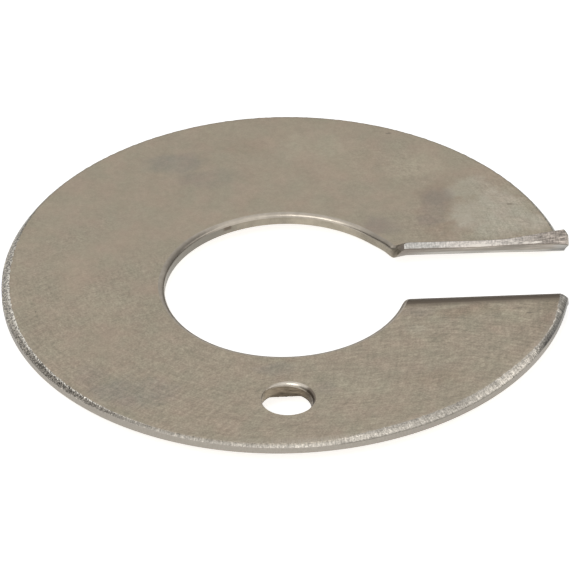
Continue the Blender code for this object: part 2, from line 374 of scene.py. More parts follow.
def section_paths(line):
    """The sheet's section along a line: underside, rim, top face and bore, as (share along, height)."""
    roll = inset_share(line, line[0], BORE_CENTRE, bore_roll_width(line[0]))
    bevel_width, bevel_depth, _ = rim_bevel(line[1])
    bevel = inset_share(line, line[1], Vector((0, 0)), bevel_width)
    lower_bore = inset_share(line, line[0], BORE_CENTRE, LOWER_EDGE)
    lower_rim = inset_share(line, line[1], Vector((0, 0)), LOWER_EDGE)
    under = [(blend(lower_bore, 1.0 - lower_rim, share), 0.0) for share in FACE_SHARES]
    top = [(blend(roll, 1.0 - bevel, share), THICKNESS) for share in FACE_SHARES]
    wall_top = THICKNESS - bevel_depth
    rim = [(1.0, blend(LOWER_EDGE, wall_top, share)) for share in WALL_SHARES]
    for step in range(1, CURVE_STEPS):
        share = step / CURVE_STEPS
        rim.append((1.0 - bevel * share, THICKNESS - bevel_depth * (1.0 - share) ** BEVEL_CURVE))
    wall_top = THICKNESS - BORE_ROLL_DEPTH
    bore = [(0.0, blend(LOWER_EDGE, wall_top, share)) for share in WALL_SHARES]
    for step in range(1, CURVE_STEPS):
        turn = pi / 2 * step / CURVE_STEPS
        bore.append((roll * (1.0 - cos(turn)), wall_top + BORE_ROLL_DEPTH * sin(turn)))
    return under, [under[-1]] + rim + [top[-1]], top, [under[0]] + bore + [top[0]]


blank = bmesh.new()
finish_layer = blank.faces.layers.int.new("finish")
dark_line_and_shadow_layer = blank.verts.layers.float.new("seam")        # 1 along the far cut edge's lower border, a dark line; at the bevel's foot, the painted shadow
down_layer = blank.verts.layers.float.new("down")        # 0 at the top face, 1 at a bevel's or roll's foot
painted_light_layer = blank.verts.layers.float.new("bright")    # painted highlight and shade on the bevel, as a level


def skin(path, following, path_finishes, gap=()):
    """Faces between two paths of points, leaving out the rows in the gap."""
    for row, finish in enumerate(path_finishes):
        if row not in gap:
            steel = blank.faces.new((path[row], path[row + 1], following[row + 1], following[row]))
            steel[finish_layer] = FINISHES.index(finish)


def wall_finishes(lower, upper):
    return [lower] * len(WALL_SHARES) + [upper] * CURVE_STEPS


def section_points(line):
    """The four paths of points of one line, joined at their corners."""
    def points_on(path):
        return [blank.verts.new(place_on(line, *spot)) for spot in path]

    under_path, rim_path, top_path, bore_path = section_paths(line)
    under = points_on(under_path)
    top = points_on(top_path)
    rim = points_on(rim_path[1:-1])
    bore = points_on(bore_path[1:-1])
    wall_top = len(WALL_SHARES) - 1
    bevel = rim[wall_top:] + [top[-1]]
    for rounded in (bevel, bore[wall_top:] + [top[0]]):
        for step, point in enumerate(rounded):
            point[down_layer] = 1.0 - step / CURVE_STEPS
    for point in bevel:
        point[painted_light_layer] = rim_bevel(line[1])[2]
    rim[wall_top][dark_line_and_shadow_layer] = shadow_line_strength(line[1])
    if line[2:] == (1, 1.0):
        for point in under:
            point[dark_line_and_shadow_layer] = 1.0
    return under, [under[-1]] + rim + [top[-1]], top, [under[0]] + bore + [top[0]]


strip_shares = [step / STRIP_STEPS * (1.0 - CUT_EDGE_SHARE) for step in range(1, STRIP_STEPS + 1)] + [1.0]
lines = [strip_line(-1, share) for share in reversed(strip_shares)]
first_ring_line = len(lines)
lines += [ring_line(step / RING_STEPS) for step in range(RING_STEPS + 1)]
lines += [strip_line(1, share) for share in strip_shares]
sections = [section_points(line) for line in lines]

hole_line = first_ring_line + round((HOLE_ANGLE - asin(-BEND_LINE / RIM_RADIUS))
                                    / (asin(BEND_LINE / RIM_RADIUS) * 2 - 2 * pi) * RING_STEPS)
hole_lines = range(hole_line - HOLE_PATCH_LINES, hole_line + HOLE_PATCH_LINES)
face_finishes = ["face"] * (len(FACE_SHARES) - 1)
for number, (section, following) in enumerate(zip(sections, sections[1:])):
    gap = HOLE_PATCH_ROWS if number in hole_lines else ()
    skin(section[0], following[0], face_finishes, gap)
    skin(section[1], following[1], wall_finishes("rim", "bevel"))
    skin(section[2], following[2], face_finishes, gap)
    skin(section[3], following[3], wall_finishes("bore", "roll"))


# The sheared faces at the slot's two edges close the sheet. Each is a patch of small faces stretched
# between the four paths of the outermost line.
def close_slot_edge(line, section):
    paths = section_paths(line)
    under, rim, top, bore = [[Vector(spot) for spot in path] for path in paths]
    across = len(under) - 1
    upward = len(rim) - 1
    rows = [section[0]]
    for step in range(1, upward):
        up = step / upward
        row = [section[3][step]]
        for place in range(1, across):
            out = FACE_SHARES[place]
            spot = under[place].lerp(top[place], up) + bore[step].lerp(rim[step], out)
            spot -= under[0].lerp(under[-1], out).lerp(top[0].lerp(top[-1], out), up)
            row.append(blank.verts.new(place_on(line, *spot)))
        rows.append(row + [section[1][step]])
    rows.append(section[2])
    for row, following in zip(rows, rows[1:]):
        skin(row, following, ["cut"] * across)


close_slot_edge(lines[0], sections[0])
close_slot_edge(lines[-1], sections[-1])


# The small hole, punched from above: its top edge is rolled over at the back and on the right, its
# sheared wall leans a little, and a ragged burr hangs below its back edge. Rings of small faces run
# round it, out to a gap left in the two faces of the sheet.
HOLE_CENTRE = 0.01898 * Vector((cos(HOLE_ANGLE), sin(HOLE_ANGLE), 0.0))
HOLE_TOP_CENTRE = HOLE_CENTRE + Vector((0.00009, 0.0, 0.0))
HOLE_LOW_CENTRE = HOLE_CENTRE - Vector((0.00015, 0.0, 0.0))
HOLE_TOP_RADIUS = 0.002505    # at the roll's outer border
HOLE_LOW_RADIUS = 0.00230
HOLE_BACK_SPREAD = 0.00024    # how much farther back the hole's upper border reaches
HOLE_LEAST_ROLL = 0.00006
HOLE_ROLL_GROWTH = 0.00031
HOLE_ROLL_DIRECTION = radians(50.0)
HOLE_ROLL_CURVE = 0.7         # below 1 the roll stays wide to either side of that direction
BURR_HANG = 0.00035
BURR_SPREAD = radians(38.0)   # to either side of the back
BURR_RIPPLES = ((9.0, 1.0, 0.10), (23.0, 7.0, 0.07))
BURR_UNDER = 0.9              # how far the burr's outer side hangs, as a share
BURR_FOOT = 0.00012           # how far out from the hole's wall the burr starts
HOLE_SIDE_PARTS = 5
HOLE_RING_SHARES = (0.3, 0.55, 0.75, 0.9, 1.0)


def split_side(side):
    """The points along a side of the gap with more put in between, without the last."""
    points = []
    for start, end in zip(side, side[1:]):
        points.append(start)
        for part in range(HOLE_SIDE_PARTS, 1, -1):
            edge = blank.edges.get((points[-1], end))
            points.append(bmesh.utils.edge_split(edge, points[-1], 1.0 / part)[1])
    return points


def gap_border(which):
    """Points round the gap in the underside (0) or the top face (2), in order."""
    first, last = hole_lines.start, hole_lines.stop
    low, high = HOLE_PATCH_ROWS.start, HOLE_PATCH_ROWS.stop
    border = split_side([sections[first][which][row] for row in range(low, high + 1)])
    border += [sections[line][which][high] for line in range(first, last)]
    border += split_side([sections[last][which][row] for row in range(high, low - 1, -1)])
    border += [sections[line][which][low] for line in range(last, first, -1)]
    return border


top_border = gap_border(2)
under_border = gap_border(0)
directions = [((point.co - HOLE_CENTRE) * Vector((1, 1, 0))).normalized() for point in top_border]


def hole_roll(direction):
    """How far the hole's top edge is rolled over on this side."""
    facing = direction.x * cos(HOLE_ROLL_DIRECTION) + direction.y * sin(HOLE_ROLL_DIRECTION)
    return HOLE_LEAST_ROLL + HOLE_ROLL_GROWTH * max(facing, 0.0) ** HOLE_ROLL_CURVE


def burr_hang(direction):
    """How far the burr hangs below the sheet on this side. It leaves a nearly straight lower edge."""
    hang = (direction.y - cos(BURR_SPREAD)) / (1.0 - cos(BURR_SPREAD))
    return BURR_HANG * (hang + ragged(direction.x, BURR_RIPPLES)) if hang > 0.0 else 0.0


def roll_ring(turn):
    """Ring of points on the rolled edge, from the top face (0) down to the wall (a quarter turn)."""
    places = []
    for direction in directions:
        roll = hole_roll(direction)
        spread = HOLE_BACK_SPREAD * max(direction.y, 0.0) ** 2
        out = HOLE_TOP_RADIUS + spread - roll * sin(turn)
        height = THICKNESS - roll * (1.0 - cos(turn))
        places.append(HOLE_TOP_CENTRE + direction * out + Vector((0, 0, height)))
    return places


def wall_ring(share):
    """Ring of points on the hole's wall, from its lower edge (0) up to the rolled edge (1)."""
    places = []
    for direction, upper in zip(directions, roll_ring(pi / 2)):
        lower = HOLE_LOW_CENTRE + direction * HOLE_LOW_RADIUS + Vector((0, 0, LOWER_EDGE))
        lower.z -= burr_hang(direction)
        places.append(lower.lerp(upper, share))
    return places


def under_ring(out, hang_share):
    """Ring of points round the hole's lower edge, this far out from it."""
    return [HOLE_LOW_CENTRE + direction * (HOLE_LOW_RADIUS + out)
            - Vector((0, 0, burr_hang(direction) * hang_share)) for direction in directions]


def rings_towards(border, goal, shares):
    return [[point.co.lerp(place, share) for point, place in zip(border, goal)] for share in shares]


hole_rings = [(places, "face") for places in rings_towards(top_border, roll_ring(0.0), HOLE_RING_SHARES)]
hole_rings += [(roll_ring(pi / 2 * step / CURVE_STEPS), "roll") for step in range(1, CURVE_STEPS + 1)]
hole_rings += [(wall_ring(share), "punched") for share in reversed(WALL_SHARES[:-1])]
lower_edge = under_ring(BURR_FOOT, 0.0)
hole_rings += [(under_ring(LOWER_EDGE, BURR_UNDER), "punched"), (lower_edge, "punched")]
under_rings = rings_towards(under_border, lower_edge, HOLE_RING_SHARES[:-1])
hole_rings += [(places, "face") for places in reversed(under_rings)]

ring = top_border
for places, finish in hole_rings:
    following = [blank.verts.new(place) for place in places]
    skin(ring + ring[:1], following + following[:1], [finish] * len(ring))
    ring = following
skin(ring + ring[:1], under_border + under_border[:1], ["face"] * len(ring))

bmesh.ops.recalc_face_normals(blank, faces=blank.faces)
pressed = mesh_object("washer_blank", blank)


# The patterns that the finishes share: clouds, ragged patches, rubbing marks, tool marks and fine lines.
# All of the washer is the same steel; what was done to it differs from place to place, and so do the
# painted highlights and shade. Lengths in the patterns are in metres on the part itself.
FLAT = (1.0, 1.0, 0.0)        # multiplies a place to leave its height out
PATCH_FADE = (1.15, 0.45)     # a ragged patch starts and is full at these shares of its half size


def pattern_group(name, inputs):
    """An empty shader group with named inputs, each with a starting value, and one output."""
    tree = bpy.data.node_groups.new(name, "ShaderNodeTree")
    for label, value in inputs.items():
        kind = "NodeSocketVector" if isinstance(value, tuple) else "NodeSocketFloat"
        tree.interface.new_socket(label, in_out="INPUT", socket_type=kind).default_value = value
    tree.interface.new_socket("Value", in_out="OUTPUT", socket_type="NodeSocketFloat")
    return tree, tree.nodes.new("NodeGroupInput").outputs, tree.nodes.new("NodeGroupOutput")


def vector_maths(tree, operation, *values):
    node = tree.nodes.new("ShaderNodeVectorMath")
    node.operation = operation
    feed(tree, node, values)
    return node.outputs["Value" if operation == "LENGTH" else "Vector"]


def scaled(tree, vector, amount):
    """A vector made longer by an amount that may itself be a socket."""
    node = tree.nodes.new("ShaderNodeVectorMath")
    node.operation = "SCALE"
    feed(tree, node, {0: vector, "Scale": amount})
    return node.outputs["Vector"]


def split(tree, vector):
    """The X, Y and Z of a vector."""
    node = tree.nodes.new("ShaderNodeSeparateXYZ")
    feed(tree, node, (vector,))
    return node.outputs


def joined(tree, *values):
    """A vector of up to three values."""
    node = tree.nodes.new("ShaderNodeCombineXYZ")
    feed(tree, node, values)
    return node.outputs[0]


def flat_distance(tree, place):
    """How far a place lies from the middle, leaving its height out."""
    return vector_maths(tree, "LENGTH", vector_maths(tree, "MULTIPLY", place, FLAT))


def angle_round(tree, place):
    """The direction of a place from the middle."""
    parts = split(tree, place)
    return maths(tree, "ARCTAN2", parts["Y"], parts["X"])


def noise_pattern(tree, vector, detail, roughness):
    node = tree.nodes.new("ShaderNodeTexNoise")
    feed(tree, node, {"Vector": vector, "Scale": 1.0, "Detail": detail, "Roughness": roughness})
    return node.outputs["Fac"]


def ramp(tree, value, start, end, low=0.0, high=1.0):
    """A smooth change from low to high while the value goes from start to end."""
    node = tree.nodes.new("ShaderNodeMapRange")
    node.interpolation_type = "SMOOTHSTEP"
    feed(tree, node, (value, start, end, low, high))
    return node.outputs[0]


# Cloud: soft uneven patches of a given size.
cloud, given, result = pattern_group("cloud", {"Vector": (0, 0, 0), "Size": 0.005, "Contrast": 1.0})
patches = scaled(cloud, given["Vector"], maths(cloud, "DIVIDE", 1.0, given["Size"]))
patches = noise_pattern(cloud, patches, detail=3.0, roughness=0.55)
half_width = maths(cloud, "DIVIDE", 0.25, given["Contrast"])
lowest, highest = [maths(cloud, operation, 0.5, half_width) for operation in ("SUBTRACT", "ADD")]
feed(cloud, result, {"Value": ramp(cloud, patches, lowest, highest)})

# Ragged patch: one at a place on the disc, used for stains and nicks and for painted highlights and shade.
stain, given, result = pattern_group("stain", {"Vector": (0, 0, 0), "Centre": (0, 0, 0),
                                               "Radii": (0.001, 0.001, 1.0), "Ragged": 0.8,
                                               "Grain": 0.0012})
away = vector_maths(stain, "SUBTRACT", given["Vector"], given["Centre"])
away = vector_maths(stain, "MULTIPLY", away, FLAT)
reach = vector_maths(stain, "LENGTH", vector_maths(stain, "DIVIDE", away, given["Radii"]))
rag = scaled(stain, given["Vector"], maths(stain, "DIVIDE", 1.0, given["Grain"]))
rag = noise_pattern(stain, rag, detail=3.0, roughness=0.6)
rag = maths(stain, "MULTIPLY", maths(stain, "SUBTRACT", rag, 0.5), given["Ragged"])
reach = maths(stain, "MULTIPLY_ADD", rag, 2.0, reach)
feed(stain, result, {"Value": ramp(stain, reach, *PATCH_FADE)})

# Rubbing: fine curved marks, long round a centre and narrow across.
rubbing, given, result = pattern_group("rubbing", {"Vector": (0, 0, 0), "Centre": (0, 0, 0),
                                                   "Spacing": 0.0003, "Length": 0.3})
away = vector_maths(rubbing, "SUBTRACT", given["Vector"], given["Centre"])
across = maths(rubbing, "DIVIDE", flat_distance(rubbing, away), given["Spacing"])
around = maths(rubbing, "DIVIDE", angle_round(rubbing, away), given["Length"])
marks = noise_pattern(rubbing, joined(rubbing, across, around), detail=2.0, roughness=0.6)
feed(rubbing, result, {"Value": marks})

# Tool marks: streaks across a round edge, as a grinder or a shear leaves them. They vary with the
# angle round the disc and, more slowly, with the height.
tool_marks, given, result = pattern_group("tool_marks", {"Vector": (0, 0, 0), "Angle": 0.004,
                                                         "Height": 0.002})
around = maths(tool_marks, "DIVIDE", angle_round(tool_marks, given["Vector"]), given["Angle"])
upward = maths(tool_marks, "DIVIDE", split(tool_marks, given["Vector"])["Z"], given["Height"])
marks = noise_pattern(tool_marks, joined(tool_marks, around, upward), detail=3.0, roughness=0.65)
feed(tool_marks, result, {"Value": marks})


def line_pattern(name, x_by, across_by):
    """Group for fine straight lines, by which of its lengths counts along X and which across."""
    tree, given, result = pattern_group(name, {"Vector": (0, 0, 0), "Length": 0.004, "Spacing": 0.0001})
    parts = split(tree, given["Vector"])
    across = maths(tree, "ADD", parts["Y"], parts["Z"])
    place = joined(tree, maths(tree, "DIVIDE", parts["X"], given[x_by]),
                   maths(tree, "DIVIDE", across, given[across_by]))
    feed(tree, result, {"Value": noise_pattern(tree, place, detail=3.0, roughness=0.6)})
    return tree


# Drawn lines run along the slot's edge or round a wall, and cross lines run across the sheet's edge.
drawn_lines = line_pattern("drawn_lines", "Length", "Spacing")
cross_lines = line_pattern("cross_lines", "Spacing", "Length")


class Finish:
    """One steel finish: a material whose colour, roughness and bump are built up step by step."""

    def __init__(self, name, colour, roughness):
        self.material = bpy.data.materials.new(name)
        self.material.use_nodes = True
        self.tree = self.material.node_tree
        self.place = self.tree.nodes.new("ShaderNodeTexCoord").outputs["Object"]
        self.colour = (*colour, 1.0)
        self.roughness = roughness
        self.height = None

    def pattern(self, group, **values):
        node = self.tree.nodes.new("ShaderNodeGroup")
        node.node_tree = group
        feed(self.tree, node, {"Vector": self.place, **values})
        return node.outputs[0]

    def patch(self, centre, radii, **values):
        """A ragged patch, with its place on the disc and half its size in millimetres."""
        return self.pattern(stain, Centre=(centre[0] * MILLIMETRE, centre[1] * MILLIMETRE, 0.0),
                            Radii=(radii[0] * MILLIMETRE, radii[1] * MILLIMETRE, 1.0), **values)

    def attribute(self, name):
        node = self.tree.nodes.new("ShaderNodeAttribute")
        node.attribute_name = name
        return node.outputs["Fac"]

    def mask(self, value, start, end):
        """0 to 1 while the value goes from start to end."""
        return ramp(self.tree, value, start, end)

    def along(self, axis, start, end):
        """0 to 1 on the way along an axis."""
        return ramp(self.tree, split(self.tree, self.place)[axis], start, end)

    def upward(self, start, end):
        """0 to 1 on the way up, measured from the disc's underside."""
        return self.along("Z", DISC_UNDERSIDE + start, DISC_UNDERSIDE + end)

    def outside(self, start, end):
        """0 to 1 on the way out from the disc's middle."""
        return ramp(self.tree, flat_distance(self.tree, self.place), start, end)

    def sector(self, first, last, soft):
        """1 between two directions round the disc, in degrees from the slot, with soft ends."""
        turn = maths(self.tree, "WRAP", angle_round(self.tree, self.place), 2 * pi, 0.0)
        opening = ramp(self.tree, turn, radians(first - soft), radians(first + soft))
        closing = ramp(self.tree, turn, radians(last + soft), radians(last - soft))
        return self.both(opening, closing)

    def both(self, first, second):
        """Where two masks meet."""
        return maths(self.tree, "MULTIPLY", first, second)

    def tint(self, mask, colour, strength=1.0):
        """Mix a colour in where the mask is."""
        node = self.tree.nodes.new("ShaderNodeMix")
        node.data_type = "RGBA"
        factor = maths(self.tree, "MULTIPLY", mask, strength)
        feed(self.tree, node, {"Factor": factor, "A": self.colour, "B": (*colour, 1.0)})
        self.colour = node.outputs["Result"]

    def shade(self, mask, low, high):
        """Multiply the colour by a level between low and high, following the mask."""
        level = maths(self.tree, "MULTIPLY_ADD", mask, high - low, low)
        colour = self.colour[:3] if isinstance(self.colour, tuple) else self.colour
        self.colour = scaled(self.tree, colour, level)

    def streak(self, pattern, where, strength):
        """Lighten and darken the colour by a pattern, only where a mask is."""
        self.shade(self.both(maths(self.tree, "SUBTRACT", pattern, 0.5), where), 1.0, 1.0 + strength)

    def roughen(self, mask, change):
        self.roughness = maths(self.tree, "MULTIPLY_ADD", mask, change, self.roughness)

    def raise_by(self, mask, height):
        """Add a relief of this height in metres."""
        relief = maths(self.tree, "MULTIPLY", mask, height)
        self.height = relief if self.height is None else maths(self.tree, "ADD", self.height, relief)

    def done(self):
        """Give the shader what was built up, and hand over the material."""
        shader = self.tree.nodes["Principled BSDF"]
        feed(self.tree, shader, {"Metallic": 1.0, "Base Color": self.colour, "Roughness": self.roughness})
        if self.height is not None:
            bump = self.tree.nodes.new("ShaderNodeBump")
            feed(self.tree, bump, {"Distance": 1.0, "Height": self.height})
            feed(self.tree, shader, {"Normal": bump.outputs[0]})
        return self.material


# The two flat faces. They keep the sheet's satin skin, slightly warm, with cloudy stains from heat and
# handling, a painted sheen on the far right, a fine grain, a few nicks and faint rubbing marks.
COOL_GREY = (0.290, 0.266, 0.224)
PURPLE_GREY = (0.286, 0.250, 0.212)
PALE_GREY = (0.475, 0.440, 0.362)
PALE_OLIVE = (0.428, 0.380, 0.292)
BROWN = (0.310, 0.250, 0.184)
PINK_BROWN = (0.412, 0.342, 0.262)
DARK_BROWN = (0.150, 0.122, 0.094)
DARK_MARK_AND_SHADOW = (0.12, 0.11, 0.09)

face = Finish("satin_steel_face", (0.364, 0.313, 0.241), 0.42)
face.tint(face.pattern(cloud, Size=0.011, Contrast=1.2), (0.393, 0.338, 0.263), 0.75)
face.tint(face.pattern(cloud, Size=0.0034, Contrast=1.4), PINK_BROWN, 0.45)
face.tint(face.pattern(cloud, Size=0.0061, Contrast=1.5), (0.335, 0.298, 0.232), 0.55)
# Each row: millimetres from the disc's middle, half its size, its colour, and how strong it is.
STAINS_AND_SHEEN = (
    ((-9.4, 18.8), (3.4, 1.9), COOL_GREY, 0.75),
    ((-6.2, 16.2), (3.6, 1.5), PURPLE_GREY, 0.45),
    ((-14.6, -17.0), (4.2, 2.6), COOL_GREY, 0.75),
    ((-18.4, -14.0), (2.0, 1.8), PURPLE_GREY, 0.4),
    ((-16.5, -2.5), (3.0, 1.8), PALE_OLIVE, 0.5),
    ((-19.0, 1.5), (2.2, 3.6), PINK_BROWN, 0.5),
    ((12.6, 17.2), (3.0, 2.6), PALE_OLIVE, 0.8),
    ((6.6, 17.8), (3.8, 4.2), PINK_BROWN, 0.6),
    ((15.0, 10.4), (2.6, 5.4), BROWN, 0.75),
    # This row, the next one and the one at (22.6, 8.0) are painted sheen on the sinking far end, not
    # stains.
    ((19.6, 9.0), (5.4, 4.2), PALE_GREY, 0.95),
    ((17.6, 13.6), (2.2, 2.0), PALE_GREY, 0.6),
    ((14.4, 11.3), (1.7, 2.6), PURPLE_GREY, 0.70),
    ((13.7, 8.6), (1.7, 1.2), PURPLE_GREY, 0.65),
    ((8.8, 7.8), (2.4, 1.8), PURPLE_GREY, 0.75),
    ((23.4, 11.0), (1.2, 3.6), BROWN, 0.45),
    ((16.2, -6.4), (4.2, 1.0), BROWN, 0.7),
    ((12.0, -6.2), (2.0, 0.9), PURPLE_GREY, 0.5),
    ((21.4, -7.2), (2.6, 1.2), PALE_OLIVE, 0.7),
    ((11.3, -9.0), (1.4, 0.8), PALE_GREY, 0.3),
    ((6.3, -17.6), (2.8, 2.0), PALE_OLIVE, 0.6),
    ((-1.6, -14.2), (2.4, 1.1), COOL_GREY, 0.6),
    ((2.9, -17.6), (1.0, 1.4), COOL_GREY, 0.45),
    ((22.6, 8.0), (2.0, 1.8), PALE_GREY, 0.9),
    ((3.6, 20.8), (3.4, 2.6), PALE_OLIVE, 0.7),
    ((-3.0, 20.8), (2.6, 1.6), BROWN, 0.35),
    ((13.0, -16.4), (3.0, 1.6), BROWN, 0.35),
    ((24.2, -7.2), (1.2, 2.4), BROWN, 0.5),
)
for centre, radii, colour, strength in STAINS_AND_SHEEN:
    face.tint(face.patch(centre, radii, Grain=0.0024), colour, strength)
# Nicks are small dark pits: place, and half the size, in millimetres.
NICKS = (((21.1, 10.8), (0.32, 0.18)), ((3.3, -19.0), (0.09, 0.12)), ((22.06, -7.1), (0.42, 0.14)),
         ((20.98, -6.3), (0.44, 0.13)), ((-23.0, -3.6), (0.10, 0.14)), ((10.5, 22.6), (0.3, 0.12)))
for centre, radii in NICKS:
    face.tint(face.patch(centre, radii, Grain=0.0002), DARK_MARK_AND_SHADOW, 0.7)
face.tint(face.pattern(cloud, Size=0.0022, Contrast=1.5), (0.420, 0.318, 0.256), 0.30)
face.tint(face.pattern(cloud, Size=0.0029, Contrast=1.5), (0.335, 0.324, 0.244), 0.30)
face.shade(face.pattern(cloud, Size=0.0005), 0.95, 1.05)
# The fine grain and the rubbing marks are strongest in front, by the small hole and on the right.
worn = maths(face.tree, "SUBTRACT", 1.0, face.patch((-6.0, 20.0), (30.0, 28.0), Grain=0.006))
grain = face.pattern(cloud, Size=0.00018)
face.shade(grain, 0.95, 1.05)
face.streak(grain, worn, 0.20)
# Rubbing marks in three directions: the centre they run round, their spacing and their length.
RUBBING = (((0.004, 0.004, 0.0), 0.00030, 0.10), ((-0.030, -0.006, 0.0), 0.00034, 0.05),
           ((0.010, -0.045, 0.0), 0.00032, 0.05))
for centre, spacing, length in RUBBING:
    marks = face.pattern(rubbing, Centre=centre, Spacing=spacing, Length=length)
    face.streak(marks, worn, 0.42)
face.streak(marks, face.sector(318, 348, 8), 0.4)
face.shade(face.both(face.outside(0.0226, 0.0242), face.sector(334, 352, 6)), 1.0, 0.88)
# Towards the bevel the grinding has scuffed the face, most of all on the right in front.
scuffs = face.pattern(tool_marks, Angle=0.005, Height=0.002)
margin = face.both(face.outside(0.0248, 0.0259), face.sector(262, 335, 14))
face.tint(face.both(margin, face.mask(scuffs, 0.30, 0.62)), (0.50, 0.45, 0.385), 0.75)
pink_margin = face.both(face.outside(0.0251, 0.0255), face.sector(338, 351, 5))
face.tint(pink_margin, (0.40, 0.342, 0.285), 0.6)
# On the turned edges: painted shade in dark brown on the near strip, most on its bend, and on the far one
# the drawn lines of the press that stretched the steel, a darker tint, and a paler grey band low on it, a
# painted reflection of the white table.
bend = face.attribute("bend")
drawn = face.pattern(drawn_lines, Length=0.005, Spacing=0.00024)
bent_up = face.mask(bend, 0.30, 0.50)
face.tint(bent_up, (0.285, 0.258, 0.225), 0.95)
# A paler grey band low on the far strip: painted reflection of the white table.
painted_table_reflection = face.both(face.mask(bend, 0.45, 0.62), face.mask(bend, 1.27, 1.12))
face.tint(painted_table_reflection, (0.405, 0.392, 0.362), 0.9)
face.streak(drawn, bent_up, 1.6)
face.tint(face.both(bent_up, face.along("X", 0.0140, 0.0110)), (0.255, 0.222, 0.195), 0.85)
rim_end = face.both(bent_up, face.along("X", 0.0185, 0.0235))
face.shade(rim_end, 1.0, 0.84)
face.streak(face.pattern(drawn_lines, Length=0.0035, Spacing=0.00045), rim_end, 1.6)
face.tint(face.attribute("seam"), DARK_BROWN, 0.8)
# Painted shade: the near strip beside the slot is darkened dark brown.
near_strip_shade = face.both(face.along("X", 0.0085, 0.0100), face.along("Y", 0.0, -0.0010))
face.tint(face.both(near_strip_shade, face.along("Y", -0.0057, -0.0050)), DARK_BROWN, 0.65)
# Painted shade on the near bend, strongest on the bend itself.
near_bend_shade = face.mask(bend, -0.002, -0.06)
face.tint(near_bend_shade, DARK_BROWN, 0.25)
face.tint(face.both(near_bend_shade, face.mask(bend, -0.85, -0.62)), DARK_BROWN)
face.roughen(face.pattern(cloud, Size=0.002), 0.08)
face.raise_by(grain, 0.0000012)


# The bevel. It was ground on the rim by hand, bare and bright, with grinding marks straight down it.
# Painted shade darkens it on the left, on the right towards the slot and in front near its top, and it is
# darker at the back.
bevel = Finish("ground_steel_bevel", (0.50, 0.462, 0.405), 0.32)
grinding = bevel.pattern(tool_marks, Angle=0.0052, Height=0.0009)
coarse = bevel.pattern(tool_marks, Angle=0.018, Height=0.0006)
ridges = bevel.pattern(tool_marks, Angle=0.010, Height=0.004)
speckle = bevel.pattern(cloud, Size=0.00016, Contrast=1.5)
down = bevel.attribute("down")
front_painted_shade = bevel.both(bevel.mask(down, 0.75, 0.10), bevel.sector(238, 280, 6))
left_painted_shade = bevel.sector(199, 236, 12)
right_painted_shade = bevel.both(bevel.sector(331, 345, 4), bevel.mask(down, 0.10, 0.40))
end_painted_shade = bevel.sector(346, 375, 4)
back_darkening = bevel.sector(-20, 160, 12)
bevel.tint(front_painted_shade, (0.30, 0.262, 0.205), 0.7)
bevel.tint(left_painted_shade, (0.21, 0.192, 0.168), 0.85)
bevel.tint(right_painted_shade, (0.165, 0.157, 0.140), 0.92)
bevel.tint(end_painted_shade, (0.17, 0.16, 0.14), 0.92)
bevel.tint(back_darkening, (0.190, 0.178, 0.140), 0.92)
# Painted highlight and shade: the bevel's brightness round the rim, from the last column of RIM_BEVEL.
bevel.shade(bevel.attribute("bright"), 0.0, 1.0)
bevel.tint(bevel.both(end_painted_shade, bevel.mask(grinding, 0.47, 0.58)), (0.52, 0.49, 0.44), 0.85)
bevel.shade(grinding, 0.30, 1.70)
bevel.shade(coarse, 0.60, 1.40)
bevel.shade(speckle, 0.75, 1.30)
bevel.streak(speckle, bevel.sector(158, 222, 10), 0.9)
# Painted shade on the bevel's lower part on the right, towards the slot.
bevel.shade(bevel.both(bevel.mask(down, 0.50, 0.85), bevel.sector(328, 352, 6)), 1.0, 0.50)
bevel.streak(ridges, bevel.sector(333, 375, 8), 2.4)
# On the left a painted highlight runs along the burr that the grinder left on the inner border.
burr_highlight = bevel.both(bevel.mask(down, 0.45, 0.25), bevel.sector(165, 226, 6))
bevel.tint(bevel.both(burr_highlight, bevel.mask(speckle, 0.35, 0.60)), (0.90, 0.86, 0.78), 0.85)
# The painted shadow under a burr along the bevel's lower border.
bevel.tint(bevel.attribute("seam"), DARK_MARK_AND_SHADOW, 0.75)
bevel.raise_by(grinding, 0.00005)
bevel.raise_by(coarse, 0.00006)
bevel.raise_by(speckle, 0.00001)


# The rim below the bevel. It is sheared steel, with the shear's marks across it. Painted shade makes it
# darker at the left, beside the slot and a little on the right in front, and a painted shadow under the
# bevel is a dark line on it.
rim = Finish("sheared_steel_rim", (0.336, 0.307, 0.267), 0.38)
rim.shade(rim.pattern(tool_marks, Angle=0.006, Height=0.0004), 0.80, 1.20)
for first, last, soft, level in ((290, 337, 12, 0.93), (337, 358, 5, 0.60), (150, 200, 10, 0.70)):
    rim.shade(rim.sector(first, last, soft), 1.0, level)
rim.tint(rim.attribute("seam"), DARK_MARK_AND_SHADOW, 0.75)


# The rolled top edges of the bore and the small hole, where the punch drew the face down. A painted
# highlight lies at the back of the small hole, and painted shade darkens the roll on the far left and
# beside the slot.
roll = Finish("rolled_steel_edge", (0.41, 0.366, 0.308), 0.33)
painted_highlight_patch = roll.patch((-0.2, -16.7), (1.8, 0.9), Ragged=0.2)
roll.tint(painted_highlight_patch, (0.60, 0.55, 0.475), 0.8)
# Painted shade on the far left and beside the slot. Each row after that: first and last degree, how soft
# the ends are, and the level on the roll's lower part, a painted highlight above 1 and painted shade below.
roll.shade(roll.sector(138, 215, 12), 1.0, 0.80)
roll.shade(roll.sector(12, 42, 6), 1.0, 0.76)
sunk = roll.mask(roll.attribute("down"), 0.0, 0.55)
for first, last, soft, level in ((129, 168, 9, 0.46), (97, 120, 7, 1.20), (53, 70, 6, 1.18),
                                 (5, 42, 6, 0.84)):
    roll.shade(roll.both(roll.sector(first, last, soft), sunk), 1.0, level)
roll.shade(roll.pattern(cloud, Size=0.0006), 0.90, 1.10)
roll.raise_by(roll.pattern(cloud, Size=0.0004), 0.000004)


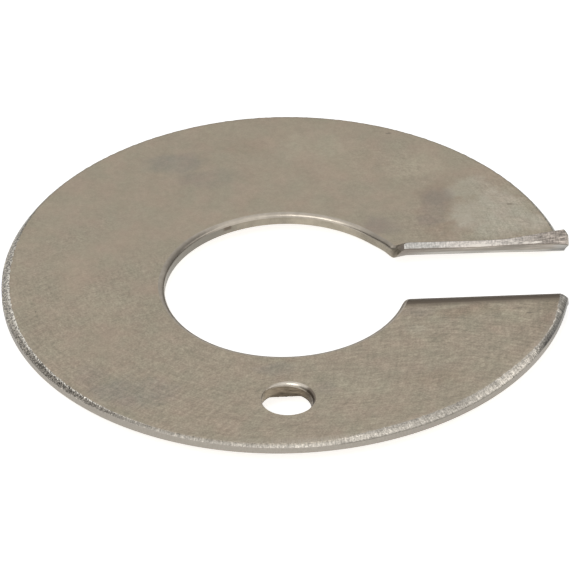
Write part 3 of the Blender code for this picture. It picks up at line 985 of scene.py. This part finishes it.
# The bore's wall. It is sheared steel, with painted shade darker at the back on the left and beside the
# slot, and one brown spot at the back on the left. The beak's top is dark.
bore = Finish("sheared_steel_bore", (0.375, 0.332, 0.262), 0.42)
bore.shade(bore.pattern(tool_marks, Angle=0.012, Height=0.0005), 0.86, 1.14)
bore.shade(bore.pattern(cloud, Size=0.0012, Contrast=1.3), 0.86, 1.08)
bore.shade(bore.sector(84, 180, 10), 1.0, 0.80)
bore.tint(bore.sector(118, 178, 10), (0.214, 0.199, 0.169), 0.9)
bore.shade(bore.sector(5, 48, 6), 1.0, 0.80)
# Painted shade: dark brown patches at the beak beside the slot, and on the roll on both sides of the small
# hole.
for finish, centre, radii, strength in (
        (roll, (10.8, 4.5), (0.9, 1.1), 0.65), (bore, (10.8, 4.5), (0.9, 1.1), 0.6),
        (roll, (1.75, -18.4), (0.8, 1.8), 0.9), (roll, (-2.7, -17.5), (0.8, 1.2), 0.5)):
    finish.tint(finish.patch(centre, radii, Grain=0.0006), DARK_BROWN, strength)
spot = bore.patch((-4.9, 8.9), (0.38, 0.8), Grain=0.0006)
bore.tint(bore.both(spot, bore.upward(0.0003, 0.0005)), DARK_BROWN)
beak_top = bore.both(bore.along("X", 0.0103, 0.0109), bore.upward(0.0007, 0.0011))
bore.tint(beak_top, (0.125, 0.108, 0.100), 0.65)


# The small hole's wall. It is dark, with lines round it where the punch tore the steel, and paler on the
# left. Painted shade makes it darkest on the right, and a painted shadow of the burr darkens its lower
# edge.
punched = Finish("torn_steel_hole_wall", (0.225, 0.185, 0.136), 0.45)
punched.shade(punched.pattern(drawn_lines, Length=0.0009, Spacing=0.00022), -0.25, 2.25)
punched.tint(punched.along("X", -0.0014, -0.0024), (0.33, 0.28, 0.21), 0.8)
punched.tint(punched.along("X", 0.0006, 0.0014), (0.10, 0.084, 0.066), 0.6)
punched.tint(punched.upward(0.00026, 0.00002), (0.065, 0.053, 0.040), 0.65)
punched.raise_by(punched.pattern(drawn_lines, Length=0.0006, Spacing=0.00016), 0.00003)


# The slot's sheared edges. The far one, which shows, is silvery at the bore end, warmer and then browner
# towards the rim, where the shear tore it.
cut = Finish("sheared_steel_slot_edge", (0.545, 0.525, 0.490), 0.36)
cut.tint(cut.along("X", 0.0130, 0.0165), (0.675, 0.620, 0.565), 0.95)
cut.tint(cut.along("X", 0.0198, 0.0245), (0.295, 0.258, 0.225), 0.95)
shear_marks = cut.pattern(cross_lines, Spacing=0.00014, Length=0.0011)
tears = cut.pattern(drawn_lines, Length=0.0010, Spacing=0.00016)
torn = cut.along("X", 0.0165, 0.0215)
cut.shade(shear_marks, 0.30, 1.70)
cut.shade(cut.pattern(cloud, Size=0.00022, Contrast=1.2), 0.80, 1.20)
cut.streak(tears, torn, 2.6)
cut.tint(cut.attribute("seam"), DARK_BROWN, 0.5)
# Painted highlights: bright glints where the shear pulled the lower edge over, with place and half the size
# in millimetres.
PAINTED_GLINTS = (((18.0, 4.02), (1.28, 0.25)), ((19.6, 4.04), (0.46, 0.16)), ((20.9, 4.25), (0.40, 0.20)),
          ((21.3, 3.93), (0.40, 0.18)), ((22.2, 3.83), (0.52, 0.18)), ((23.1, 3.76), (0.58, 0.15)))
for centre, radii in PAINTED_GLINTS:
    cut.tint(cut.patch(centre, radii, Grain=0.0005), (0.86, 0.80, 0.72), 0.85)
cut.raise_by(shear_marks, 0.00004)
cut.raise_by(cut.both(tears, torn), 0.00008)
finishes = {"face": face, "bevel": bevel, "rim": rim, "roll": roll, "bore": bore, "cut": cut,
            "punched": punched}


# The press. It turns the slot's far edge up and its near edge down, each about its own bend line, and
# the far end of the ring sinks a little. The tree works from where each point lies on the flat blank.
press = bpy.data.node_groups.new("press", "GeometryNodeTree")
press.interface.new_socket("Geometry", in_out="INPUT", socket_type="NodeSocketGeometry")
press.interface.new_socket("Geometry", in_out="OUTPUT", socket_type="NodeSocketGeometry")
PRESS_SIZES = {
    "Thickness": THICKNESS,
    "Rim Radius": RIM_RADIUS,
    "Bore Radius": BORE_RADIUS,
    "Bend Line": BEND_LINE,
    "Beak Shift": BEAK_SHIFT,
    "Beak Start": BEAK_START,
    "Beak End": BEAK_END,
    "Far Bend Radius": 0.00028,
    "Far Bore Angle": radians(96.0),
    "Far Rim Angle": radians(61.0),
    "Far Twist Start": FAR_TWIST_START,
    "Far Bore Width": FAR_BORE_WIDTH,
    "Far Rim Width": FAR_RIM_WIDTH,
    "Far Flare Start": FAR_FLARE_START,
    "Far Rim Upset": 0.00044,
    "Far Swell": 0.00020,
    "Far Swell Start": 0.0200,
    "Far Swell End": 0.0238,
    "Near Bore Bend Radius": 0.00175,
    "Near Rim Bend Radius": 0.00115,
    "Near Angle": radians(58.0),
    "End Droop": 0.00050,
    "Droop Start": radians(103.0),
    "Droop Full": radians(25.0),
    "Underside Height": DISC_UNDERSIDE,
}
for name in PRESS_SIZES:
    press.interface.new_socket(name, in_out="INPUT", socket_type="NodeSocketFloat")
press_in = press.nodes.new("NodeGroupInput")
press_out = press.nodes.new("NodeGroupOutput")
size = press_in.outputs


def calculate(operation, *values):
    """One step of arithmetic in the press tree."""
    return maths(press, operation, *values)


def grow(start, low, high):
    """A quickening change from low to high on the way out from a start to the rim."""
    node = press.nodes.new("ShaderNodeMapRange")
    feed(press, node, (x, start, size["Rim Radius"], 0.0, 1.0))
    share = calculate("POWER", node.outputs[0], 2.0)
    return calculate("MULTIPLY_ADD", share, calculate("SUBTRACT", high, low), low)


def choose(condition, when_true, when_false):
    node = press.nodes.new("GeometryNodeSwitch")
    node.input_type = "FLOAT"
    feed(press, node, (condition, when_false, when_true))
    return node.outputs[0]


# Where a point lies on the flat blank, and how far it is past its bend line.
position = press.nodes.new("GeometryNodeInputPosition")
x, y, height = split(press, position.outputs[0])

is_far = calculate("GREATER_THAN", y, 0.0)
beak = ramp(press, x, size["Beak End"], size["Beak Start"], 0.0, size["Beak Shift"])
beak = calculate("MULTIPLY", beak, is_far)
line = calculate("SUBTRACT", size["Bend Line"], beak)
beyond = calculate("SUBTRACT", line, calculate("ABSOLUTE", y))
beyond = calculate("MULTIPLY", beyond, calculate("GREATER_THAN", x, 0.0))
is_strip = calculate("GREATER_THAN", beyond, 0.0)
strip = calculate("MAXIMUM", beyond, 0.0)

# How far each strip turns there, and what is left of it beyond the bend.
out_share = calculate("DIVIDE", calculate("SUBTRACT", x, size["Bore Radius"]),
                      calculate("SUBTRACT", size["Rim Radius"], size["Bore Radius"]))
near_change = calculate("SUBTRACT", size["Near Rim Bend Radius"], size["Near Bore Bend Radius"])
near_inside = calculate("MULTIPLY_ADD", near_change, out_share, size["Near Bore Bend Radius"])
inside = choose(is_far, size["Far Bend Radius"], near_inside)
neutral = calculate("MULTIPLY_ADD", size["Thickness"], 0.5, inside)
far_angle = grow(size["Far Twist Start"], size["Far Bore Angle"], size["Far Rim Angle"])
full_angle = choose(is_far, far_angle, size["Near Angle"])
angle = calculate("MINIMUM", calculate("DIVIDE", strip, neutral), full_angle)
straight = calculate("SUBTRACT", strip, calculate("MULTIPLY", angle, neutral))

# The far strip thickens towards its cut edge, and at the rim its lower side swells as well.
far_width = grow(size["Far Flare Start"], size["Far Bore Width"], size["Far Rim Width"])
edge_share = calculate("DIVIDE", strip, far_width)
edge_share = calculate("MULTIPLY", calculate("MULTIPLY", edge_share, edge_share), is_far)
thickening = calculate("MULTIPLY", edge_share, grow(size["Far Flare Start"], 0.0, size["Far Rim Upset"]))
thickening = calculate("DIVIDE", thickening, size["Thickness"])
raised = calculate("MULTIPLY_ADD", height, thickening, height)
swell = ramp(press, x, size["Far Swell Start"], size["Far Swell End"], 0.0, size["Far Swell"])
below = calculate("SUBTRACT", 1.0, calculate("DIVIDE", height, size["Thickness"]))
swell = calculate("MULTIPLY", calculate("MULTIPLY", swell, edge_share), below)
raised = calculate("SUBTRACT", raised, swell)
from_inside = choose(is_far, calculate("SUBTRACT", size["Thickness"], raised), raised)
radius = calculate("ADD", inside, from_inside)

# Where the turned edges end up.
sine = calculate("SINE", angle)
cosine = calculate("COSINE", angle)
away = calculate("SUBTRACT", calculate("SUBTRACT", line, calculate("MULTIPLY", radius, sine)),
                 calculate("MULTIPLY", straight, cosine))
rise = calculate("SUBTRACT", calculate("ADD", inside, size["Thickness"]),
                 calculate("MULTIPLY", radius, cosine))
rise = calculate("MULTIPLY_ADD", straight, sine, rise)
turned_y = calculate("MULTIPLY", away, calculate("SIGN", y))
turned_z = choose(is_far, rise, calculate("SUBTRACT", size["Thickness"], rise))
new_y = choose(is_strip, turned_y, y)
new_z = choose(is_strip, turned_z, height)

# The far end of the ring sinks, more and more towards the slot and the rim.
round_angle = calculate("ARCTAN2", y, x)
droop = ramp(press, round_angle, size["Droop Start"], size["Droop Full"], 0.0, size["End Droop"])
from_middle = calculate("SQRT", calculate("ADD", calculate("MULTIPLY", x, x), calculate("MULTIPLY", y, y)))
droop = calculate("MULTIPLY", droop, calculate("DIVIDE", from_middle, size["Rim Radius"]))
droop = calculate("MULTIPLY", droop, is_far)
new_z = calculate("ADD", calculate("SUBTRACT", new_z, droop), size["Underside Height"])

keep_bend = press.nodes.new("GeometryNodeStoreNamedAttribute")
side = calculate("MULTIPLY", is_strip, calculate("SIGN", y))
feed(press, keep_bend, {"Geometry": press_in.outputs["Geometry"], "Name": "bend",
                        "Value": calculate("MULTIPLY", angle, side)})
move = press.nodes.new("GeometryNodeSetPosition")
feed(press, move, {"Geometry": keep_bend.outputs[0], "Position": joined(press, x, new_y, new_z)})
realize = press.nodes.new("GeometryNodeRealizeInstances")
feed(press, realize, (move.outputs[0],))

finish_number = press.nodes.new("GeometryNodeInputNamedAttribute")
finish_number.data_type = "INT"
finish_number.inputs["Name"].default_value = "finish"
shaped = realize.outputs[0]
for number, name in enumerate(FINISHES):
    is_finish = press.nodes.new("FunctionNodeCompare")
    is_finish.data_type = "INT"
    is_finish.operation = "EQUAL"
    first, second = [socket for socket in is_finish.inputs if socket.enabled][:2]
    press.links.new(finish_number.outputs["Attribute"], first)
    second.default_value = number
    dress = press.nodes.new("GeometryNodeSetMaterial")
    dress.inputs["Material"].default_value = finishes[name].done()
    feed(press, dress, {"Geometry": shaped, "Selection": is_finish.outputs[0]})
    shaped = dress.outputs[0]
feed(press, press_out, (shaped,))

SHARP_ANGLE = radians(30.0)   # edges sharper than this stay crisp
modifier = pressed.modifiers.new("press", "NODES")
modifier.node_group = press
for item in press.interface.items_tree:
    if item.name in PRESS_SIZES:
        modifier[item.identifier] = PRESS_SIZES[item.name]
bpy.context.view_layer.update()
evaluated = pressed.evaluated_get(bpy.context.evaluated_depsgraph_get())
washer_data = bpy.data.meshes.new_from_object(evaluated)
washer_data.name = "slotted_washer_dressed"
washer_data.shade_smooth()
washer_data.set_sharp_from_angle(angle=SHARP_ANGLE)
washer = add_object("slotted_washer_dressed", washer_data)
bpy.data.objects.remove(pressed)

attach(washer, "root")
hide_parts("slotted_washer")
